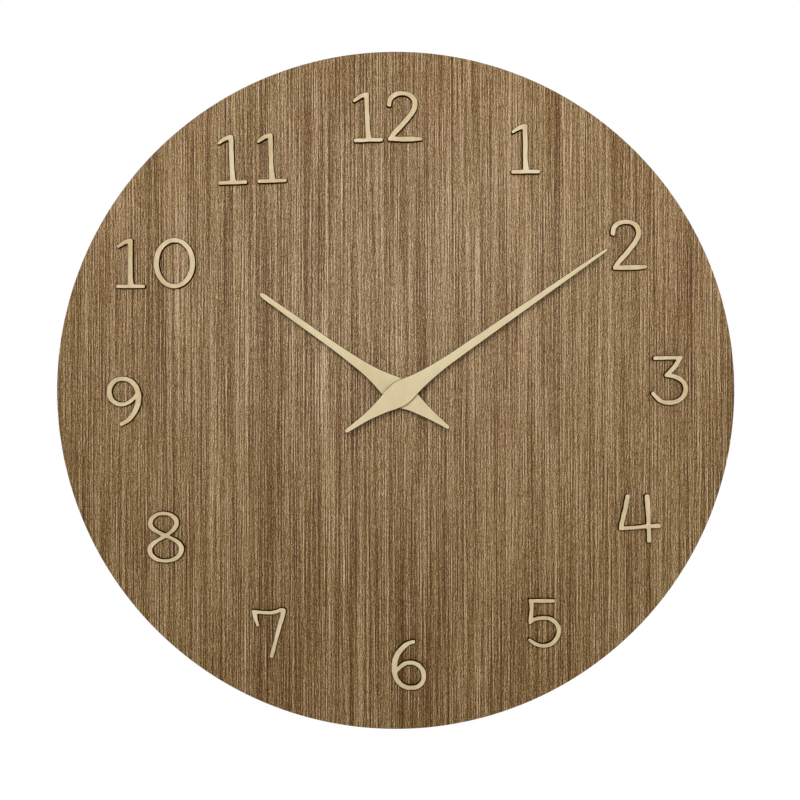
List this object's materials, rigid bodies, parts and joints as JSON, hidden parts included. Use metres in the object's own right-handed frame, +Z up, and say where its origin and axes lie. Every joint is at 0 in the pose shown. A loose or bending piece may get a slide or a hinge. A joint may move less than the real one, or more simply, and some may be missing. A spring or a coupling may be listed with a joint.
{
  "type": "wall clock",
  "caption": "Round wooden wall clock with a veneered disc, raised cut-out wooden numerals, push-on hands and a battery quartz movement with a hanging loop behind.",
  "frame": {"origin": "on the axis of the hands, in the plane of the wall, which the movement's cover lies against", "axes": "+Z up as the clock hangs, +Y back into the wall, the dial faces -Y, +X to the right seen from the front"},
  "size_m": [0.34, 0.0322, 0.34],
  "materials": {
    "walnut_veneer": "straight-grained brown veneer, matte",
    "core_board": "plywood core, sanded edge",
    "numeral_ply": "pale cut plywood with dark burnt edges",
    "hand_ply": "pale matte wood with a thin dark edge",
    "brass": "turned brass",
    "rubber": "black rubber",
    "steel": "plated sheet steel",
    "black_plastic": "moulded black plastic, fine texture",
    "white_plastic": "moulded off-white plastic",
    "copper_wire": "enamelled copper wire",
    "circuit_board": "green board",
    "battery_jacket": "printed metal jacket, plain"
  },
  "bodies": {
    "dial": {"back_veneer": "walnut_veneer", "dial_core": "core_board", "front_veneer": "walnut_veneer", "numeral_1": "numeral_ply", "numeral_2": "numeral_ply", "numeral_3": "numeral_ply", "numeral_4": "numeral_ply", "numeral_5": "numeral_ply", "numeral_6": "numeral_ply", "numeral_7": "numeral_ply", "numeral_8": "numeral_ply", "numeral_9": "numeral_ply", "numeral_10_one": "numeral_ply", "numeral_10_zero": "numeral_ply", "numeral_11_first": "numeral_ply", "numeral_11_second": "numeral_ply", "numeral_12_one": "numeral_ply", "numeral_12_two": "numeral_ply", "hex_nut": "brass", "washer": "brass", "rubber_gasket": "rubber", "hanger_plate": "steel", "movement_case": "black_plastic", "movement_cover": "black_plastic", "middle_plate": "white_plastic", "stator": "steel", "coil_core": "steel", "coil_bobbin": "white_plastic", "coil_winding": "copper_wire", "circuit_board": "circuit_board", "clock_chip": "black_plastic", "quartz_crystal": "steel", "positive_contact": "steel", "negative_contact": "steel"},
    "minute": {"minute_hand": "hand_ply", "minute_collet": "brass", "minute_arbor": "white_plastic"},
    "hour": {"hour_hand": "hand_ply", "hour_collet": "brass", "hour_wheel": "white_plastic"},
    "transfer": {"transfer_wheel": "white_plastic"},
    "knob": {"setting_knob": "white_plastic"},
    "rotor": {"rotor": "steel"},
    "intermediate": {"intermediate_wheel": "white_plastic"},
    "second": {"second_wheel": "white_plastic"},
    "third": {"third_wheel": "white_plastic"},
    "centre": {"centre_wheel": "white_plastic"},
    "battery": {"battery": "battery_jacket"}
  },
  "joints": [
    {"name": "minute_turn", "type": "hinge", "parent": "dial", "child": "minute", "pos_m": [0, 0, 0], "axis": [0, 1, 0], "continuous": true},
    {"name": "hour_turn", "type": "hinge", "parent": "dial", "child": "hour", "pos_m": [0, 0, 0], "axis": [0, 1, 0], "continuous": true},
    {"name": "transfer_turn", "type": "hinge", "parent": "dial", "child": "transfer", "pos_m": [-0.00566, -0.01, 0.00566], "axis": [0, 1, 0], "continuous": true},
    {"name": "knob_turn", "type": "hinge", "parent": "dial", "child": "knob", "pos_m": [-0.01131, 0, 0.01131], "axis": [0, 1, 0], "continuous": true},
    {"name": "rotor_turn", "type": "hinge", "parent": "dial", "child": "rotor", "pos_m": [0.0119, -0.009, 0.0073], "axis": [0, 1, 0], "continuous": true},
    {"name": "intermediate_turn", "type": "hinge", "parent": "dial", "child": "intermediate", "pos_m": [0.00724, -0.005, 0.00263], "axis": [0, 1, 0], "continuous": true},
    {"name": "second_turn", "type": "hinge", "parent": "dial", "child": "second", "pos_m": [0, 0, 0], "axis": [0, 1, 0], "continuous": true},
    {"name": "third_turn", "type": "hinge", "parent": "dial", "child": "third", "pos_m": [-0.0075, -0.005, 0], "axis": [0, 1, 0], "continuous": true},
    {"name": "centre_turn", "type": "hinge", "parent": "dial", "child": "centre", "pos_m": [0, 0, 0], "axis": [0, 1, 0], "continuous": true},
    {"name": "battery_slide", "type": "slide", "parent": "dial", "child": "battery", "axis": [0, 1, 0], "range_m": [0, 0.016]}
  ],
  "couplings": [
    {"joint": "hour_turn", "follows": "minute_turn", "ratio": 0.083333},
    {"joint": "transfer_turn", "follows": "minute_turn", "ratio": -0.33333},
    {"joint": "knob_turn", "follows": "minute_turn", "ratio": 1},
    {"joint": "intermediate_turn", "follows": "rotor_turn", "ratio": -0.2},
    {"joint": "second_turn", "follows": "rotor_turn", "ratio": 0.033333},
    {"joint": "third_turn", "follows": "rotor_turn", "ratio": -0.0044444},
    {"joint": "centre_turn", "follows": "rotor_turn", "ratio": 0.00055556}
  ]
}
